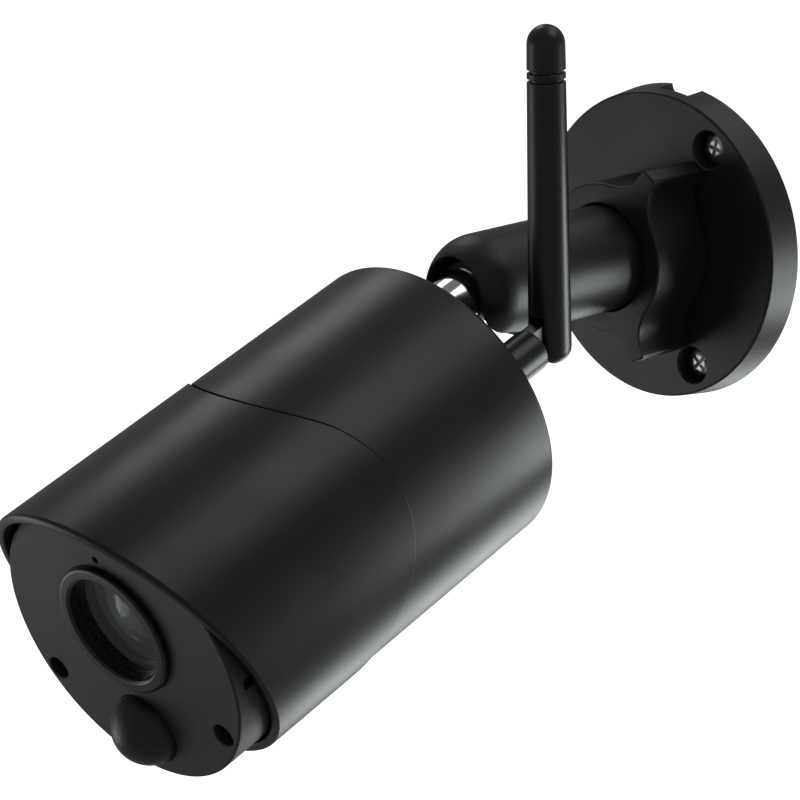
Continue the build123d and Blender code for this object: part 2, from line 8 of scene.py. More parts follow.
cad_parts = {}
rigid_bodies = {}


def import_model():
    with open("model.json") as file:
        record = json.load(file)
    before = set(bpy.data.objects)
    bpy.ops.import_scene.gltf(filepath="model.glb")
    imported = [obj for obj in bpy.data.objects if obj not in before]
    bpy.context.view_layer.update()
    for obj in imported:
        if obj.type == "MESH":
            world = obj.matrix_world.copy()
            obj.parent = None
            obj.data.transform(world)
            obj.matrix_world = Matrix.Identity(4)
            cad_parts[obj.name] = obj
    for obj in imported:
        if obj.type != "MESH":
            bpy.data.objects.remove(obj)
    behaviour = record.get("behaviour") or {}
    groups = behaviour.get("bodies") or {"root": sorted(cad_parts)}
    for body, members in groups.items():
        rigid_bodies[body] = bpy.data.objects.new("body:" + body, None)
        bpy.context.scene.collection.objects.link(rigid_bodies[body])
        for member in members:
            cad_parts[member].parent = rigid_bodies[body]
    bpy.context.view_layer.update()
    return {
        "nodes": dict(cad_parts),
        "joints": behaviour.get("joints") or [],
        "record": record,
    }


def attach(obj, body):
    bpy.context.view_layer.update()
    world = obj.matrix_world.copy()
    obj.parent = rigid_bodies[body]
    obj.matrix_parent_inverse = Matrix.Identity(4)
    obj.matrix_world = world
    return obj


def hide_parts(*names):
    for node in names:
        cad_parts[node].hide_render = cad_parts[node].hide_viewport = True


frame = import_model()
NODES = frame["nodes"]
JOINTS = {joint["name"]: joint for joint in frame["joints"]}
MM = 0.001

# ---------------------------------------------------------------- frames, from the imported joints
# Lengths below are millimetres in a local frame; placed() turns them into the shared frame's metres.

BALL = Vector(JOINTS["ball_tilt"]["pos_m"])
FORWARD = Vector(JOINTS["head_turn"]["axis"])
RIGHT = -Vector(JOINTS["port_cover_hinge"]["axis"])
UP = FORWARD.cross(RIGHT)
STUD_RISE = 15.5            # the stud's hole above the head's axis
STUD_REACH = 20.0           # ball centre to the head's rear face
HEAD_LENGTH = 88.4
ANTENNA_AT = (19.35, 10.7)  # the antenna's connector on the rear face
PIN_TILT = 2.5              # the antenna pin's slope against the head's own right, degrees
ROD_LEAN = 73.3 - 180.0     # the antenna rod's turn about its pin at rest, degrees
FACE = BALL + MM * (FORWARD * (STUD_REACH + HEAD_LENGTH) - UP * STUD_RISE)


def placed(origin, x_dir, y_dir, z_dir):
    """Matrix from a local frame in millimetres to the shared frame in metres."""
    turn = Matrix((x_dir, y_dir, z_dir)).transposed().to_4x4()
    return Matrix.Translation(origin) @ turn @ Matrix.Scale(MM, 4)


WALL = placed((0, 0, 0), Vector((1, 0, 0)), Vector((0, 0, 1)), Vector((0, -1, 0)))
HEAD = placed(FACE, RIGHT, UP, FORWARD)
STUD = placed(BALL, RIGHT, UP, FORWARD)
PIN = RIGHT * cos(radians(PIN_TILT)) + UP * sin(radians(PIN_TILT))
FOOT_UP = FORWARD.cross(PIN)
FOOT = placed(FACE + MM * (RIGHT * ANTENNA_AT[0] + UP * ANTENNA_AT[1]), PIN, FOOT_UP, FORWARD)
ROD_TURN = Matrix.Rotation(radians(ROD_LEAN), 4, "X")
ROD = placed(JOINTS["antenna_fold"]["pos_m"], PIN, FOOT_UP, FORWARD) @ ROD_TURN

LENS_Y = 3.9                # lens centre above the head's axis
DOME_Y = -19.3              # motion sensor's centre
SHELL_R = 31.0
SHELL_BORE = 28.8
SLEEVE_R = 31.4
SLEEVE_BORE = 29.5
BARREL_R = 29.1             # the rear body's barrel and the front cover, both under the sleeve
SEAM_GAP = 0.06
FINE, ROUND = 320, 160      # segments round a large and a middling turned part


# ---------------------------------------------------------------- mesh helpers

def finish_piece(mesh, name, place, material, body, replaces=(), smooth=35.0, weighted=True):
    """Move a bmesh into the shared frame, make it an object, shade it and tie it to its body."""
    bmesh.ops.transform(mesh, matrix=place, verts=mesh.verts)
    bmesh.ops.recalc_face_normals(mesh, faces=mesh.faces)
    data = bpy.data.meshes.new(name)
    mesh.to_mesh(data)
    mesh.free()
    piece = bpy.data.objects.new(name, data)
    bpy.context.scene.collection.objects.link(piece)
    shade(piece, smooth, weighted)
    data.materials.append(material)
    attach(piece, body)
    if replaces:
        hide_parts(*replaces)
    return piece


def shade(piece, angle, weighted):
    """Smooth shading with sharp edges above an angle, and flats kept flat."""
    mesh = bmesh.new()
    mesh.from_mesh(piece.data)
    for face in mesh.faces:
        face.smooth = True
    for edge in mesh.edges:
        edge.smooth = not (edge.is_manifold and edge.calc_face_angle(0) > radians(angle))
    mesh.to_mesh(piece.data)
    mesh.free()
    if weighted:
        modifier = piece.modifiers.new("flat faces", "WEIGHTED_NORMAL")
        modifier.keep_sharp = True


def rounded(points, steps=5):
    """Closed outline with its corners rounded; each point is (a, b) or (a, b, radius)."""
    out = []
    count = len(points)
    for k, point in enumerate(points):
        here = Vector(point[:2])
        radius = point[2] if len(point) > 2 else 0.0
        if radius == 0:
            out.append(tuple(here))
            continue
        back = (Vector(points[k - 1][:2]) - here).normalized()
        ahead = (Vector(points[(k + 1) % count][:2]) - here).normalized()
        half = back.angle(ahead) / 2
        reach = radius / tan(half)
        centre = here + (back + ahead).normalized() * (radius / sin(half))
        start = here + back * reach - centre
        sweep = pi - 2 * half
        side = 1 if back.x * ahead.y - back.y * ahead.x < 0 else -1
        for step in range(steps + 1):
            turn = side * sweep * step / steps
            across = start.x * cos(turn) - start.y * sin(turn)
            along = start.x * sin(turn) + start.y * cos(turn)
            out.append(tuple(centre + Vector((across, along))))
    return out


def turned(section, count=160):
    """bmesh swept round z; section is a closed outline of (radius, z) points, or gives one per angle."""
    mesh = bmesh.new()
    rings = []
    for k in range(count):
        angle = 2 * pi * k / count
        outline = section(angle) if callable(section) else section
        rings.append([mesh.verts.new((r * cos(angle), r * sin(angle), z)) for r, z in outline])
    size = len(rings[0])
    for k in range(count):
        one, two = rings[k], rings[(k + 1) % count]
        for j in range(size):
            mesh.faces.new((one[j], one[(j + 1) % size], two[(j + 1) % size], two[j]))
    bmesh.ops.remove_doubles(mesh, verts=mesh.verts, dist=1e-5)
    bmesh.ops.dissolve_degenerate(mesh, edges=mesh.edges, dist=1e-6)
    return mesh


def moved(mesh, matrix):
    """The same bmesh after a move in its own frame."""
    bmesh.ops.transform(mesh, matrix=matrix, verts=mesh.verts)
    return mesh


def rod_mesh(radius, z0, z1, x=0.0, y=0.0, count=48, edge=0.0):
    """Closed cylinder along z with optionally rounded ends."""
    corner = (edge,) if edge else ()
    outline = rounded([(0, z0), (radius, z0) + corner, (radius, z1) + corner, (0, z1)])
    return moved(turned(outline, count), Matrix.Translation((x, y, 0)))


def box_mesh(x0, x1, y0, y1, z0, z1):
    """Closed box from two corners."""
    mesh = bmesh.new()
    bmesh.ops.create_cube(mesh, size=1.0)
    centre = ((x0 + x1) / 2, (y0 + y1) / 2, (z0 + z1) / 2)
    size = Matrix.Diagonal((x1 - x0, y1 - y0, z1 - z0, 1))
    return moved(mesh, Matrix.Translation(centre) @ size)


def merged(*meshes):
    """One bmesh from several, left as separate shells."""
    whole = bmesh.new()
    for part in meshes:
        data = bpy.data.meshes.new("part")
        part.to_mesh(data)
        part.free()
        whole.from_mesh(data)
        bpy.data.meshes.remove(data)
    return whole


def combined(base, tools, operation="DIFFERENCE"):
    """Exact boolean of a base bmesh with a list of tool bmeshes, as a new bmesh."""
    scene = bpy.context.scene.collection.objects
    made = []
    for mesh in [base] + list(tools):
        bmesh.ops.recalc_face_normals(mesh, faces=mesh.faces)
        data = bpy.data.meshes.new("boolean")
        mesh.to_mesh(data)
        mesh.free()
        made.append(bpy.data.objects.new("boolean", data))
        scene.link(made[-1])
    for tool in made[1:]:
        modifier = made[0].modifiers.new("boolean", "BOOLEAN")
        modifier.object = tool
        modifier.operation = operation
        modifier.solver = "EXACT"
    result = bmesh.new()
    evaluated = made[0].evaluated_get(bpy.context.evaluated_depsgraph_get())
    result.from_mesh(evaluated.to_mesh())
    evaluated.to_mesh_clear()
    for thing in made:
        bpy.data.objects.remove(thing)
    return result


def softened(mesh, voxel, passes):
    """Voxel remesh and smoothing, for a moulded part with soft edges all over."""
    data = bpy.data.meshes.new("soften")
    mesh.to_mesh(data)
    mesh.free()
    thing = bpy.data.objects.new("soften", data)
    bpy.context.scene.collection.objects.link(thing)
    remesh = thing.modifiers.new("remesh", "REMESH")
    remesh.mode = "VOXEL"
    remesh.voxel_size = voxel
    smooth = thing.modifiers.new("smooth", "SMOOTH")
    smooth.factor = 0.5
    smooth.iterations = passes
    result = bmesh.new()
    evaluated = thing.evaluated_get(bpy.context.evaluated_depsgraph_get())
    result.from_mesh(evaluated.to_mesh())
    evaluated.to_mesh_clear()
    bpy.data.objects.remove(thing)
    return result


# ---------------------------------------------------------------- materials

def shader(name):
    """New material with its node tree and principled shader."""
    material = bpy.data.materials.new(name)
    material.use_nodes = True
    tree = material.node_tree
    return material, tree, tree.nodes["Principled BSDF"]


def noise(tree, scale, detail, roughness=0.5):
    """Noise texture in object coordinates."""
    place = tree.nodes.new("ShaderNodeTexCoord")
    texture = tree.nodes.new("ShaderNodeTexNoise")
    texture.inputs["Scale"].default_value = scale
    texture.inputs["Detail"].default_value = detail
    texture.inputs["Roughness"].default_value = roughness
    tree.links.new(place.outputs["Object"], texture.inputs["Vector"])
    return texture.outputs["Fac"]


def spread(tree, source, low, high, start=0.3, end=0.7):
    """Map a 0..1 value to a range."""
    node = tree.nodes.new("ShaderNodeMapRange")
    node.inputs["From Min"].default_value = start
    node.inputs["From Max"].default_value = end
    node.inputs["To Min"].default_value = low
    node.inputs["To Max"].default_value = high
    tree.links.new(source, node.inputs["Value"])
    return node.outputs["Result"]


def mixed(tree, factor, one, two):
    """Mix two colours by a value."""
    node = tree.nodes.new("ShaderNodeMix")
    node.data_type = "RGBA"
    node.inputs["A"].default_value = (*one, 1)
    node.inputs["B"].default_value = (*two, 1)
    tree.links.new(factor, node.inputs["Factor"])
    return node.outputs["Result"]


def bump(tree, bsdf, height, distance):
    """Bump a shader by a height; distance is in metres."""
    node = tree.nodes.new("ShaderNodeBump")
    node.inputs["Strength"].default_value = 1.0
    node.inputs["Distance"].default_value = distance
    tree.links.new(height, node.inputs["Height"])
    tree.links.new(node.outputs["Normal"], bsdf.inputs["Normal"])


TONE = 0.14                 # how far a plastic's tone wanders either way
METAL_DARK = 0.88           # a metal's darker tone against its own colour


def plastic(name, colour, rough, grain=2600.0, depth=0.000012, specular=0.45, coat=0.0):
    """Moulded plastic: spark-eroded grain, slight tone and gloss variation."""
    material, tree, bsdf = shader(name)
    wide = noise(tree, 55.0, 3.0)
    fine = noise(tree, grain, 2.0, 0.6)
    darker = [c * (1 - TONE) for c in colour]
    lighter = [c * (1 + TONE) for c in colour]
    tree.links.new(mixed(tree, wide, darker, lighter), bsdf.inputs["Base Color"])
    tree.links.new(spread(tree, wide, rough - 0.03, rough + 0.04), bsdf.inputs["Roughness"])
    bump(tree, bsdf, fine, depth)
    bsdf.inputs["Specular IOR Level"].default_value = specular
    bsdf.inputs["Coat Weight"].default_value = coat
    bsdf.inputs["Coat Roughness"].default_value = 0.08
    return material


def metal(name, colour, rough, scratch):
    """Metal with faint wear in its gloss."""
    material, tree, bsdf = shader(name)
    wear = noise(tree, 900.0, 4.0, 0.7)
    wide = noise(tree, 120.0, 2.0)
    darker = [c * METAL_DARK for c in colour]
    tree.links.new(mixed(tree, wide, darker, colour), bsdf.inputs["Base Color"])
    tree.links.new(spread(tree, wear, rough, rough + scratch), bsdf.inputs["Roughness"])
    bump(tree, bsdf, wear, 0.000004)
    bsdf.inputs["Metallic"].default_value = 1.0
    return material


def glass(name, tint, rough):
    """Thin clear glass: see-through, with a mirror-like surface that strengthens towards the edge."""
    material, tree, bsdf = shader(name)
    tree.nodes.remove(bsdf)
    clear = tree.nodes.new("ShaderNodeBsdfTransparent")
    clear.inputs["Color"].default_value = (*tint, 1)
    facing = tree.nodes.new("ShaderNodeLayerWeight")
    facing.inputs["Blend"].default_value = 0.5
    grazing = tree.nodes.new("ShaderNodeMath")
    grazing.operation = "POWER"
    grazing.inputs[1].default_value = 5.0
    tree.links.new(facing.outputs["Facing"], grazing.inputs[0])
    blend = tree.nodes.new("ShaderNodeMixShader")
    tree.links.new(spread(tree, grazing.outputs["Value"], 0.04, 1.0, 0.0, 1.0), blend.inputs["Fac"])
    tree.links.new(clear.outputs["BSDF"], blend.inputs[1])
    gloss = tree.nodes.new("ShaderNodeBsdfAnisotropic")
    haze = noise(tree, 300.0, 2.0)
    tree.links.new(spread(tree, haze, rough, rough + 0.02), gloss.inputs["Roughness"])
    tree.links.new(gloss.outputs["BSDF"], blend.inputs[2])
    tree.links.new(blend.outputs["Shader"], tree.nodes["Material Output"].inputs["Surface"])
    return material


def board(name):
    """Circuit board: green solder mask over faint tracks."""
    material, tree, bsdf = shader(name)
    place = tree.nodes.new("ShaderNodeTexCoord")
    tracks = tree.nodes.new("ShaderNodeTexBrick")
    tracks.inputs["Scale"].default_value = 260.0
    tracks.inputs["Mortar Size"].default_value = 0.04
    tracks.inputs["Color1"].default_value = (0.012, 0.11, 0.04, 1)
    tracks.inputs["Color2"].default_value = (0.014, 0.13, 0.05, 1)
    tracks.inputs["Mortar"].default_value = (0.03, 0.22, 0.09, 1)
    tree.links.new(place.outputs["Object"], tracks.inputs["Vector"])
    tree.links.new(tracks.outputs["Color"], bsdf.inputs["Base Color"])
    tree.links.new(spread(tree, noise(tree, 400.0, 2.0), 0.3, 0.42), bsdf.inputs["Roughness"])
    bump(tree, bsdf, tracks.outputs["Fac"], 0.00003)
    return material


BLACK = (0.0105, 0.0105, 0.0112)
SHELL = plastic("satin black shell", BLACK, 0.36, specular=0.42)
SLEEVE = plastic("satin black sleeve", (0.0108, 0.0108, 0.0115), 0.35, specular=0.42)
MOUNT = plastic("matt black mount", (0.0125, 0.0125, 0.013), 0.40, grain=2100.0, depth=0.000018)
NUT = plastic("matt black nut", (0.0115, 0.0115, 0.012), 0.42, grain=2100.0, depth=0.000018)
FACE_GREY = plastic("satin grey front", (0.020, 0.020, 0.021), 0.48, grain=3000.0)
BEZEL = plastic("smooth black ring", (0.010, 0.010, 0.011), 0.28, grain=1500.0, depth=0.000004)
DOME = plastic("satin sensor dome", (0.014, 0.014, 0.015), 0.36, grain=1200.0, depth=0.000006)
LENS_BLACK = plastic("matt black lens barrel", (0.018, 0.018, 0.019), 0.38, depth=0.000006)
ANTENNA = plastic("smooth black antenna", (0.0105, 0.0105, 0.011), 0.31, grain=1800.0, depth=0.000006)
RUBBER = plastic("matt rubber", (0.011, 0.011, 0.011), 0.62, grain=1500.0, depth=0.00003, specular=0.3)
WHITE_PLASTIC = plastic("off-white plastic", (0.62, 0.62, 0.60), 0.42)
CHIP = plastic("chip package", (0.018, 0.018, 0.02), 0.5)
LAMP = plastic("tinted lamp", (0.03, 0.014, 0.025), 0.12, coat=0.5)
CLEAR = glass("clear light pipe", (0.86, 0.88, 0.9), 0.08)
CELL = plastic("cell sleeve", (0.05, 0.16, 0.42), 0.28, grain=700.0)
COAX = plastic("coax jacket", (0.05, 0.05, 0.05), 0.5)
WINDOW = glass("window glass", (0.96, 0.97, 0.98), 0.03)
CHROME = metal("polished chrome", (0.78, 0.78, 0.79), 0.09, 0.03)
STEEL = metal("zinc-plated steel", (0.60, 0.60, 0.60), 0.24, 0.10)
BLACK_STEEL = metal("black-finished steel", (0.02, 0.02, 0.021), 0.4, 0.10)
TIN = metal("tinned steel", (0.56, 0.56, 0.56), 0.28, 0.10)
BRASS = metal("turned brass", (0.62, 0.42, 0.17), 0.22, 0.12)
BOARD = board("circuit board")


GLASS_TOP = 2.6             # the front glass's crown behind the front face


def glint_spot(tree, offset, spot, radius):
    """Mask for a painted glint: 1 at a spot given in head millimetres, falling to 0 at a radius; offset is
    from the lens centre.
    """
    centre = Vector(spot) * MM
    distance = tree.nodes.new("ShaderNodeVectorMath")
    distance.operation = "DISTANCE"
    distance.inputs[1].default_value = RIGHT * centre.x + UP * centre.y + FORWARD * centre.z
    tree.links.new(offset, distance.inputs[0])
    return spread(tree, distance.outputs["Value"], 1.0, 0.0, 0.0, radius * MM)


def tinted(tree, factor, one, two):
    """Mix a linked colour towards a fixed one."""
    node = tree.nodes.new("ShaderNodeMix")
    node.data_type = "RGBA"
    node.inputs["B"].default_value = (*two, 1)
    tree.links.new(one, node.inputs["A"])
    tree.links.new(factor, node.inputs["Factor"])
    return node.outputs["Result"]


def glass_with_painted_light():
    """Front glass of the lens: inner rings, a painted highlight on its upper left side, and a painted green
    and a painted violet glint.
    """
    material, tree, bsdf = shader("lens glass with painted light")
    place = tree.nodes.new("ShaderNodeTexCoord")
    offset = tree.nodes.new("ShaderNodeVectorMath")
    offset.operation = "SUBTRACT"
    offset.inputs[1].default_value = FACE + MM * (UP * LENS_Y - FORWARD * GLASS_TOP)
    tree.links.new(place.outputs["Object"], offset.inputs[0])
    offset = offset.outputs["Vector"]
    across = tree.nodes.new("ShaderNodeVectorMath")
    across.operation = "DOT_PRODUCT"
    across.inputs[1].default_value = (UP * 0.7 - RIGHT).normalized()
    tree.links.new(offset, across.inputs[0])
    # Painted highlight: a mask rising towards the upper left of the glass.
    painted_highlight = spread(tree, across.outputs["Value"], 0.0, 1.0, -7.0 * MM, 8.0 * MM)
    rings = tree.nodes.new("ShaderNodeTexWave")
    rings.wave_type = "RINGS"
    rings.rings_direction = "SPHERICAL"
    rings.inputs["Scale"].default_value = 210.0
    tree.links.new(offset, rings.inputs["Vector"])
    lens_colour = mixed(tree, rings.outputs["Fac"], (0.004, 0.004, 0.005), (0.009, 0.009, 0.010))
    # The glass is painted pale grey there, a painted reflection of the front light.
    lens_colour = tinted(tree, painted_highlight, lens_colour, (0.24, 0.237, 0.232))
    soft = spread(tree, rings.outputs["Fac"], 0.0, 0.16, 0.0, 1.0)
    lens_colour = tinted(tree, soft, lens_colour, (0.03, 0.03, 0.032))
    # Painted glints: a green one left of the lens centre and a pale violet one below it.
    lens_colour = tinted(tree, glint_spot(tree, offset, (-2.4, -0.2, 0), 2.8), lens_colour, (0.09, 0.25, 0.19))
    lens_colour = tinted(tree, glint_spot(tree, offset, (-0.1, -5.0, 0), 1.7), lens_colour, (0.50, 0.46, 0.56))
    tree.links.new(lens_colour, bsdf.inputs["Base Color"])
    tree.links.new(spread(tree, noise(tree, 90.0, 1.0), 0.10, 0.14), bsdf.inputs["Roughness"])
    bump(tree, bsdf, rings.outputs["Fac"], 0.00002)
    return material


LENS_GLASS = glass_with_painted_light()

SLOT_LOOKS = {
    "shell_black": SHELL, "sleeve_black": SLEEVE, "mount_black": MOUNT, "nut_black": NUT,
    "face_grey": FACE_GREY, "bezel_black": BEZEL, "window_glass": WINDOW, "lens_black": LENS_BLACK,
    "lens_glass": LENS_GLASS, "dome_plastic": DOME, "chrome": CHROME, "screw_steel": STEEL,
    "screw_black": BLACK_STEEL, "rubber_black": RUBBER, "board_green": BOARD, "chip_black": CHIP,
    "can_steel": TIN,
    "lamp_dark": LAMP, "clear_plastic": CLEAR, "cell_sleeve": CELL, "cradle_white": WHITE_PLASTIC,
    "brass": BRASS, "knob_white": WHITE_PLASTIC, "antenna_black": ANTENNA, "coax_grey": COAX,
}
for entry in frame["record"]["subparts"]:
    node = NODES[entry["node"]]
    node.data.materials.clear()
    node.data.materials.append(SLOT_LOOKS[entry["material_slot"]])


# ---------------------------------------------------------------- wall mount

SCREW_ANGLES = (57.0, 177.0, 297.0)
SCREW_CIRCLE = 26.8
ARM_BALL_Z = 58.7           # ball centre above the wall's plane
ARM_NOSE_R = 11.1
SOCKET_R = 8.25
MOUTH_R = 7.6               # the arm's mouth and the half width of its slot
SCOOP_R = 12.0              # thumb scoops each side of the nose
SCOOP_AT = (21.4, 2.2, 66.9)
NOTCH_Y = 33.4              # cable notch in the plate's rim


def circle_point(angle, radius):
    """Point on a circle in a local xy plane, angle in degrees."""
    return radius * cos(radians(angle)), radius * sin(radians(angle))


def wall_plate():
    """Plate with rounded rim, countersunk-edged pockets, cable notch and boss."""
    outline = rounded([
        (8.6, 1.6), (8.6, 17.3, 0.3), (12.8, 17.3, 0.4), (12.8, 7.5, 0.3), (32.6, 7.5, 0.55),
        (33.5, 0, 0.35), (27.0, 0), (27.0, 1.6), (17.0, 1.6), (17.0, 0), (12.0, 0), (12.0, 1.6),
    ])
    plate = turned(outline, 256)
    tools = []
    for angle in SCREW_ANGLES:
        x, y = circle_point(angle, SCREW_CIRCLE)
        pocket = rounded([(0, 3.2), (3.85, 3.2), (3.85, 7.15), (4.25, 7.55), (4.25, 9), (0, 9)])
        tools.append(moved(turned(pocket, 64), Matrix.Translation((x, y, 0))))
        tools.append(rod_mesh(2.15, -1, 5, x, y))
    tools.append(box_mesh(-1.8, 6.6, NOTCH_Y, 40, -1, 4.6))
    tools.append(box_mesh(0.6, 4.2, 31.0, 34, -1, 4.6))
    tools += [rod_mesh(2.4, -1, 4.6, x, NOTCH_Y) for x in (0.6, 4.2)]
    plate = combined(plate, tools)
    return finish_piece(plate, "plate", WALL, MOUNT, "mount_base", ["wall_plate"], smooth=30)


def wall_screws():
    """Pan-head screws with crisp cross recesses, a thin neck in the plate and a stud behind it."""
    screws = []
    for angle in SCREW_ANGLES:
        x, y = circle_point(angle, SCREW_CIRCLE)
        outline = rounded([
            (0, -4.5), (2.0, -4.5, 0.3), (2.0, -0.3), (1.75, -0.3), (1.75, 3.2, 0.2), (3.4, 3.2, 0.2),
            (3.4, 4.6, 0.8), (1.6, 5.2, 1.6), (0, 5.2),
        ])
        shank = turned(outline, 72)
        cross = [box_mesh(-2.0, 2.0, -0.42, 0.42, 3.9, 6), box_mesh(-0.42, 0.42, -2.0, 2.0, 3.9, 6)]
        screw = combined(shank, cross)
        turn = Matrix.Rotation(radians(angle + 20), 4, "Z")
        screws.append(moved(screw, Matrix.Translation((x, y, 0)) @ turn))
    screws = merged(*screws)
    return finish_piece(
        screws, "plate_screws", WALL, STEEL, "mount_base", ["wall_screws"], smooth=30)


def nut_radius(angle):
    """Outline of the lock nut in polar form: a hub and three wings blended by wide fillets."""
    hub, tip, half_tip, half_root, blend = 15.7, 22.8, 1.9, 4.0, 5.2

    def depth(radius):
        x, y = radius * cos(angle), radius * sin(angle)
        nearest = radius - hub
        for wing in SCREW_ANGLES:
            along = x * cos(radians(wing)) + y * sin(radians(wing))
            across = abs(y * cos(radians(wing)) - x * sin(radians(wing)))
            if along < 0:
                continue
            side = across - half_root + (half_root - half_tip) * along / tip
            end = along - tip
            corner = 0.7
            out = hypot(max(side + corner, 0), max(end + corner, 0)) - corner
            wing_depth = max(side, end) if max(side, end) < -corner else out
            mix = max(blend - abs(nearest - wing_depth), 0) / blend
            nearest = min(nearest, wing_depth) - mix * mix * blend / 4
        return nearest

    low, high = 12.0, 30.0
    for _ in range(30):
        middle = (low + high) / 2
        low, high = (middle, high) if depth(middle) < 0 else (low, middle)
    return low


def lock_nut():
    """Winged nut with softly broken edges."""
    foot, lip, top = 8.1, 20.7, 23.0

    def section(angle):
        r = nut_radius(angle)
        return rounded([
            (13.3, foot, 0.3), (r, foot, 0.35), (r, top, 0.5), (11.35, top, 0.35), (11.35, lip), (13.3, lip),
        ], 4)

    nut = turned(section, 720)
    return finish_piece(nut, "knob", WALL, NUT, "lock_nut", ["lock_nut"], smooth=50)


def ball_arm():
    """Arm with a flange, ball socket, slot and thumb scoops, all softly moulded."""
    quarter = [radians(a) for a in range(90, -1, -3)]
    nose = [(ARM_NOSE_R * sin(a), ARM_BALL_Z + ARM_NOSE_R * cos(a)) for a in quarter]
    outline = [(0, 17.7), (12.5, 17.7), (12.5, 20.5), (ARM_NOSE_R, 20.5)] + nose
    body = turned(outline, 128)
    socket = [(SOCKET_R * sin(a), ARM_BALL_Z + SOCKET_R * cos(a)) for a in quarter]
    bore = turned([(0, 15), (SOCKET_R, 15)] + socket, 96)
    tools = [
        bore, rod_mesh(MOUTH_R, ARM_BALL_Z, 75, count=96),
        box_mesh(-MOUTH_R, MOUTH_R, -16, 0, ARM_BALL_Z, 75),
    ]
    across = Matrix.Translation((0, 0, ARM_BALL_Z)) @ Matrix.Rotation(radians(90), 4, "X")
    tools.append(moved(rod_mesh(MOUTH_R, 0, 16, count=96), across))
    for side in (-1, 1):
        ball = bmesh.new()
        bmesh.ops.create_uvsphere(ball, u_segments=96, v_segments=64, radius=SCOOP_R)
        tools.append(moved(ball, Matrix.Translation((side * SCOOP_AT[0], *SCOOP_AT[1:]))))
    arm = softened(combined(body, tools), voxel=0.26, passes=9)
    return finish_piece(
        arm, "arm", WALL, MOUNT, "arm", ["ball_arm"], smooth=80, weighted=False)


def ball_stud():
    """Polished ball and thick shaft with a broken edge and a threaded tip."""
    ball_r, shaft_r, tip_r = 8.2, 6.6, 3.15
    ball = [(ball_r * sin(radians(a)), -ball_r * cos(radians(a))) for a in range(0, 127, 3)]
    outline = ball + [
        (shaft_r, 5.1), (shaft_r, 19.4), (6.2, 19.85), (tip_r, 19.85), (tip_r, 29.6), (2.8, 30),
    ]
    stud = turned(outline + [(0, 30)], 128)
    return finish_piece(stud, "stud", STUD, CHROME, "stud", ["ball_stud"], smooth=30)


# ---------------------------------------------------------------- head

# (height, station) along the head, the station counted backwards from the front face
SEAM_POINTS = [
    (-33, -24.0), (-19.3, -36.6), (-1.5, -46.6), (13.5, -49.5), (24.0, -46.3), (31.0, -38.2), (34, -33.0),
]
RIM_POINTS = [(33, 7.2), (0, -4.0), (-33, -12.4)]
WELL = (-8.6, 8.6, -40, -22.6, -80, -49)    # connector well under the body, x, y and z from and to
SPEAKER_Y = -12.0           # middle of the speaker holes in the rear wall


def seam_at(y):
    """Station of the sleeve's rear seam at a height, by a smooth curve through its points."""
    return smooth_curve(SEAM_POINTS, y)


def smooth_curve(points, y):
    """Catmull-Rom curve through (height, station) points sorted by height."""
    for k in range(len(points) - 1):
        if points[k][0] <= y <= points[k + 1][0]:
            break
    slopes = []
    for j in (k, k + 1):
        before, after = points[max(j - 1, 0)], points[min(j + 1, len(points) - 1)]
        slopes.append((after[1] - before[1]) / (after[0] - before[0]))
    (y0, z0), (y1, z1) = points[k], points[k + 1]
    span = y1 - y0
    t = (y - y0) / span
    return (
        z0 * (2 * t ** 3 - 3 * t ** 2 + 1) + slopes[0] * span * (t ** 3 - 2 * t ** 2 + t)
        + z1 * (3 * t ** 2 - 2 * t ** 3) + slopes[1] * span * (t ** 3 - t ** 2)
    )


def rim_at(y):
    """Station of the sleeve's front rim at a height: the arc through the three rim points."""
    (y0, z0), (y1, z1), (y2, z2) = RIM_POINTS
    d = 2 * (y0 * (z1 - z2) + y1 * (z2 - z0) + y2 * (z0 - z1))
    a, b, c = y0 * y0 + z0 * z0, y1 * y1 + z1 * z1, y2 * y2 + z2 * z2
    cy = (a * (z1 - z2) + b * (z2 - z0) + c * (z0 - z1)) / d
    cz = (a * (y2 - y1) + b * (y0 - y2) + c * (y1 - y0)) / d
    reach = hypot(y0 - cy, z0 - cz)
    side = 1 if z1 > cz else -1
    return cz + side * sqrt(reach * reach - (y - cy) ** 2)


def sleeve():
    """Sun-shade sleeve with a rounded lip, from its oblique rim to the curved seam."""

    def section(angle):
        front = rim_at(SLEEVE_R * sin(angle))
        back = seam_at(SLEEVE_R * sin(angle)) + SEAM_GAP
        return rounded([
            (SLEEVE_BORE, back), (SLEEVE_R, back, 0.25), (SLEEVE_R, front, 0.7), (SLEEVE_BORE, front, 0.5),
        ])

    mesh = turned(section, FINE)
    return finish_piece(mesh, "sleeve", HEAD, SLEEVE, "head", ["front_sleeve"], smooth=50)


def rear_shell():
    """Rear body with the barrel under the sleeve, its rear wall and its openings."""

    def section(angle):
        seam = seam_at(SHELL_R * sin(angle)) - SEAM_GAP
        return rounded([
            (0, -HEAD_LENGTH), (SHELL_R, -HEAD_LENGTH, 1.3), (SHELL_R, seam, 0.18), (BARREL_R, seam),
            (BARREL_R, -15.2), (27.3, -15.2), (27.3, -4.0), (25.6, -4.0), (25.6, -52), (SHELL_BORE, -52),
            (SHELL_BORE, -86.2), (0, -86.2),
        ])

    shell = turned(section, FINE)
    tools = [
        rod_mesh(3.35, -89, -80, 0, STUD_RISE), rod_mesh(3.2, -89, -80, *ANTENNA_AT), box_mesh(*WELL),
    ]
    for x, y in [(0, 0)] + [circle_point(60 * k, 3.2) for k in range(6)]:
        tools.append(rod_mesh(0.8, -89, -84, x, y + SPEAKER_Y, count=24))
    shell = combined(shell, tools)
    return finish_piece(shell, "rear_body", HEAD, SHELL, "head", ["rear_housing"], smooth=30)


def well_liner():
    """Walls of the connector well inside the rear body."""
    outer = box_mesh(-9.8, 9.8, -28.6, -21.7, -81.2, -47.8)
    liner = combined(outer, [box_mesh(*WELL)])
    return finish_piece(liner, "well_liner", HEAD, SHELL, "head", smooth=30)


FACE_SCREW_AT = (22.2, -12.9)


